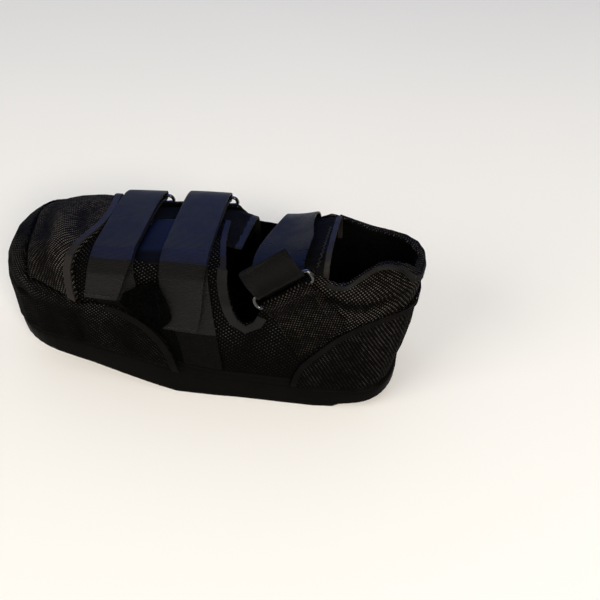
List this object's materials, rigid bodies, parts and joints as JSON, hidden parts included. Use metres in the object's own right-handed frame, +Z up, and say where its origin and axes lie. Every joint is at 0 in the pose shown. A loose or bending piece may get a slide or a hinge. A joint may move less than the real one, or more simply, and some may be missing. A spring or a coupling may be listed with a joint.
{
  "type": "post operative shoe",
  "caption": "Left post operative shoe with a closed mesh toe, rocker sole, padded collar and webbing straps through rings.",
  "frame": {"origin": "middle of the flat tread, on the floor", "axes": "+X towards the toe, +Y to the wearer's left, which is the outer side, +Z up"},
  "size_m": [0.2881, 0.1138, 0.1262],
  "materials": {
    "outsole": "satin moulded foam rubber",
    "insole": "matt brushed cloth over foam",
    "mesh": "open knitted spacer mesh",
    "binding": "smooth folded tape",
    "lining": "brushed loop lining",
    "webbing": "woven webbing with fine cross ribs",
    "pile": "fuzzy loop pile",
    "ring": "glossy black"
  },
  "bodies": {
    "root": {"outsole": "outsole", "insole": "insole", "upper": "mesh", "toe_guard": "mesh", "toe_cover": "mesh", "heel_counter": "mesh", "ring_tab": "mesh", "toe_cover_binding": "binding", "heel_counter_binding": "binding", "collar_binding": "binding", "throat_binding": "binding", "far_flap": "lining", "front_flap": "lining", "front_strap": "webbing", "mid_strap": "webbing", "ankle_strap": "webbing", "front_ring": "ring", "mid_ring": "ring", "ankle_ring": "ring", "front_ring_loop": "webbing", "mid_ring_loop": "webbing", "pile_patch": "pile", "toe_guard_binding_left": "binding", "toe_guard_binding_right": "binding"}
  },
  "joints": []
}
